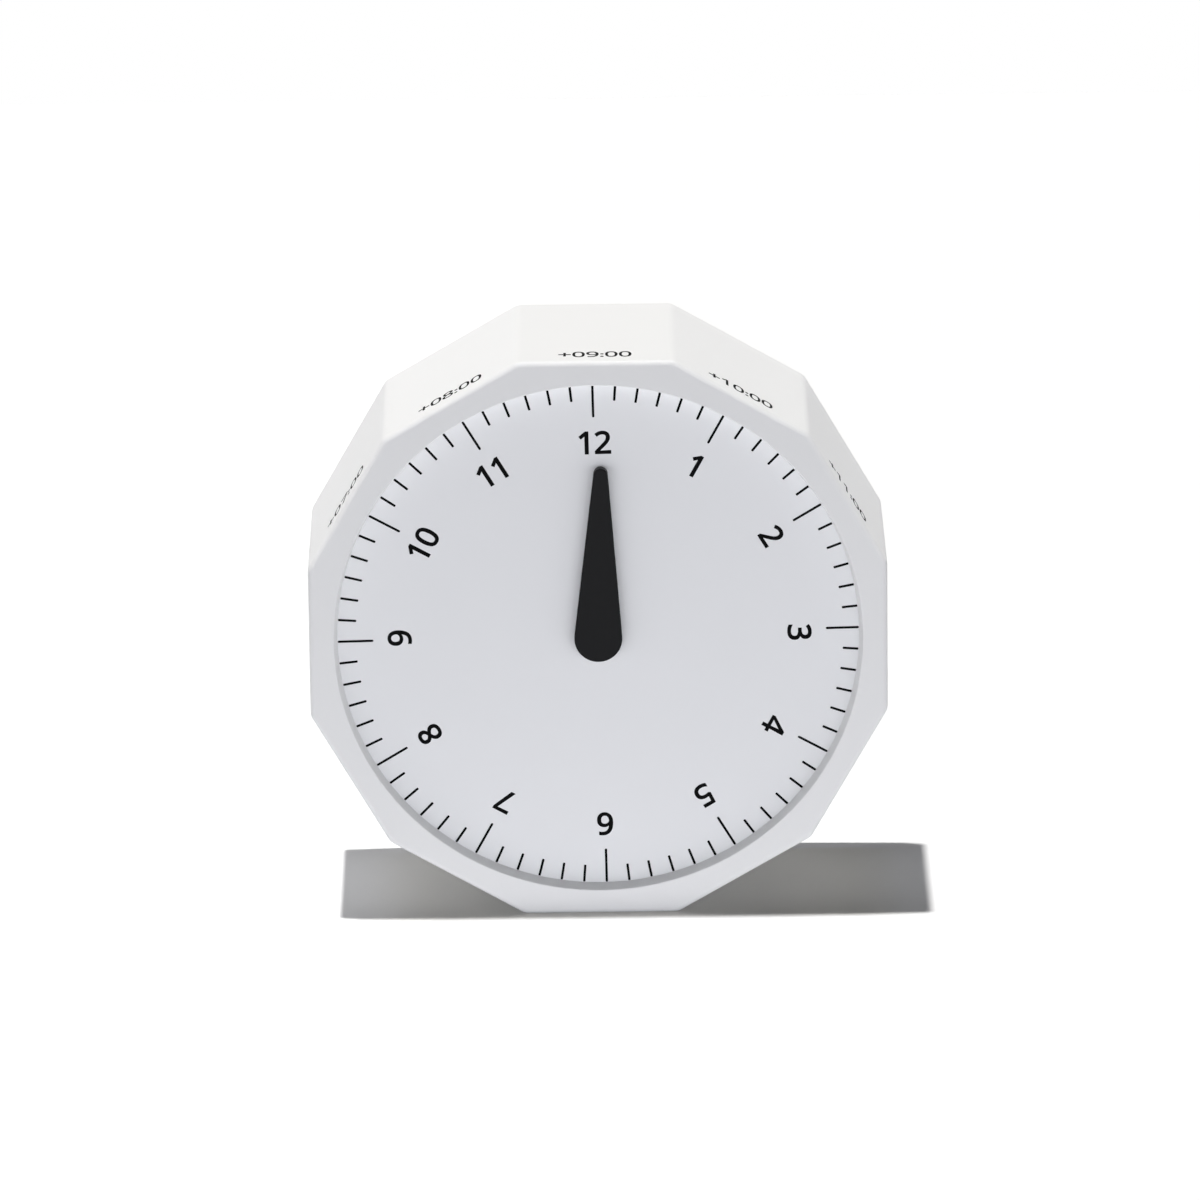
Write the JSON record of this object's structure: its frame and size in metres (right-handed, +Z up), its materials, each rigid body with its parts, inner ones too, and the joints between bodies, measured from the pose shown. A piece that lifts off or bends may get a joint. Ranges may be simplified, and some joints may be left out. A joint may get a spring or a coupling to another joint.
{
  "type": "world time clock",
  "caption": "Faceted desk clock with a recessed dial and an hour hand. Rolled onto another facet it shows another time zone, while a weighted carriage keeps the hand upright.",
  "frame": {"origin": "on the ground, in the middle of the facet the clock stands on, half way between bezel and back rim", "axes": "+Z up, front (dial) towards -Y, clock axis along Y at z = 0.055 m"},
  "size_m": [0.11, 0.041, 0.11],
  "materials": {
    "case_plastic": "matte",
    "dial_plastic": "matte",
    "hand_plastic": "satin",
    "chassis_plastic": "matte",
    "carriage_plastic": "matte",
    "movement_plastic": "matte",
    "knob_plastic": "satin",
    "gear_plastic": "satin",
    "cage_plastic": "satin",
    "bearing_steel": "polished",
    "screw_steel": "satin",
    "spring_steel": "satin",
    "nut_brass": "satin",
    "weight_iron": "matte",
    "board_laminate": "satin",
    "chip_resin": "gloss",
    "crystal_can": "polished",
    "motor_steel": "satin",
    "winding_copper": "satin",
    "magnet": "matte",
    "cell_jacket": "gloss"
  },
  "bodies": {
    "case": {"front_housing": "case_plastic", "dial": "dial_plastic", "chassis_plate": "chassis_plastic", "chassis_screws": "screw_steel", "rear_cover": "case_plastic", "rear_cover_screws": "screw_steel", "front_bearing_outer_ring": "bearing_steel", "rear_bearing_outer_ring": "bearing_steel", "bearing_outer_spacer": "spring_steel", "bearing_circlip": "spring_steel"},
    "carriage": {"carriage_plate": "carriage_plastic", "front_bearing_inner_ring": "bearing_steel", "rear_bearing_inner_ring": "bearing_steel", "bearing_inner_spacer": "spring_steel", "hub_nut": "nut_brass", "balance_weight": "weight_iron", "weight_screws": "screw_steel", "movement_base": "movement_plastic", "movement_cover": "movement_plastic", "movement_screws": "screw_steel", "circuit_board": "board_laminate", "timing_chip": "chip_resin", "quartz_crystal": "crystal_can", "stator": "motor_steel", "coil_core": "motor_steel", "coil_bobbin": "movement_plastic", "coil_winding": "winding_copper", "motor_screws": "screw_steel", "battery": "cell_jacket", "positive_contact": "spring_steel", "negative_contact": "spring_steel"},
    "bearing_balls": {"front_bearing_balls": "bearing_steel", "rear_bearing_balls": "bearing_steel", "front_bearing_cage": "cage_plastic", "rear_bearing_cage": "cage_plastic"},
    "hand": {"hour_hand": "hand_plastic", "hour_arbor": "gear_plastic", "hour_wheel": "gear_plastic"},
    "setting": {"setting_arbor": "gear_plastic", "setting_wheel": "gear_plastic", "clutch_spring": "spring_steel", "setting_knob": "knob_plastic"},
    "first": {"first_wheel": "gear_plastic", "first_pinion": "gear_plastic"},
    "rotor": {"rotor_magnet": "magnet", "rotor_pinion": "gear_plastic"},
    "lid": {"back_lid": "case_plastic"}
  },
  "joints": [
    {"name": "carriage_swing", "type": "hinge", "parent": "case", "child": "carriage", "pos_m": [0, 0, 0.055], "axis": [0, 1, 0], "continuous": true},
    {"name": "ball_orbit", "type": "hinge", "parent": "case", "child": "bearing_balls", "pos_m": [0, 0, 0.055], "axis": [0, 1, 0], "continuous": true},
    {"name": "hour_hand_turn", "type": "hinge", "parent": "carriage", "child": "hand", "pos_m": [0, 0, 0.055], "axis": [0, 1, 0], "continuous": true},
    {"name": "setting_turn", "type": "hinge", "parent": "carriage", "child": "setting", "pos_m": [-0.01212, 0, 0.062], "axis": [0, 1, 0], "continuous": true},
    {"name": "first_wheel_turn", "type": "hinge", "parent": "carriage", "child": "first", "pos_m": [-0.00371, 0, 0.07041], "axis": [0, 1, 0], "continuous": true},
    {"name": "rotor_turn", "type": "hinge", "parent": "carriage", "child": "rotor", "pos_m": [0.00709, 0, 0.07041], "axis": [0, 1, 0], "continuous": true},
    {"name": "lid_lift", "type": "slide", "parent": "case", "child": "lid", "axis": [0, 1, 0], "range_m": [0, 0.045]}
  ],
  "couplings": [
    {"joint": "ball_orbit", "follows": "carriage_swing", "ratio": 0.4},
    {"joint": "setting_turn", "follows": "hour_hand_turn", "ratio": -6},
    {"joint": "first_wheel_turn", "follows": "hour_hand_turn", "ratio": 45},
    {"joint": "rotor_turn", "follows": "hour_hand_turn", "ratio": -360}
  ]
}
